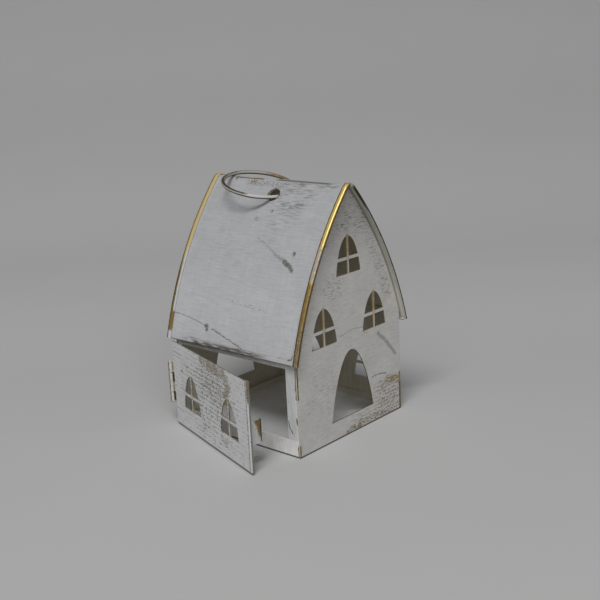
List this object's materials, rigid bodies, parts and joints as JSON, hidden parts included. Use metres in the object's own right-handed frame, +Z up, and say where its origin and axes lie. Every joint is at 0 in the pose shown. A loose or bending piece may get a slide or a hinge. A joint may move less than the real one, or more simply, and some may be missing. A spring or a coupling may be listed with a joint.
{
  "type": "candle lantern",
  "caption": "House-shaped sheet-metal candle lantern with an arched roof, arched windows and doorways, a hinged side door and a wire hanging ring.",
  "frame": {"origin": "centre of the floor's underside, on the surface that the lantern stands on", "axes": "+Z up; Y along the ridge, with the gable that has the low doorway facing -Y; the hinged door on the -X side"},
  "size_m": [0.1277, 0.1031, 0.1464],
  "materials": {
    "worn_white_paint": "brushed white paint, worn through at the edges",
    "inside_paint": "thin grey-white paint",
    "rubbed_gold": "gold showing through rubbed white paint",
    "painted_wire": "steel wire with worn white paint"
  },
  "bodies": {
    "house": {"front_gable": "worn_white_paint", "rear_gable": "worn_white_paint", "door_side_wall": "worn_white_paint", "window_side_wall": "worn_white_paint", "floor_tray": "inside_paint", "roof_sheet": "worn_white_paint", "front_verge_strip": "rubbed_gold", "rear_verge_strip": "rubbed_gold", "wall_hinge_leaf": "worn_white_paint", "hinge_pin": "painted_wire"},
    "door": {"door_panel": "worn_white_paint", "door_hinge_leaf": "worn_white_paint", "door_catch": "worn_white_paint"},
    "ring": {"hanging_ring": "painted_wire"}
  },
  "joints": [
    {"name": "door_hinge", "type": "hinge", "parent": "house", "child": "door", "pos_m": [-0.0501, 0.0506, 0.0264], "axis": [0, 0, -1], "range_deg": [-17.45, 162.5]},
    {"name": "ring_swing", "type": "hinge", "parent": "house", "child": "ring", "pos_m": [-0.00044, -0.00262, 0.13565], "axis": [0.9957, 0.0667, 0.0637], "range_deg": [0, 151.5]}
  ]
}
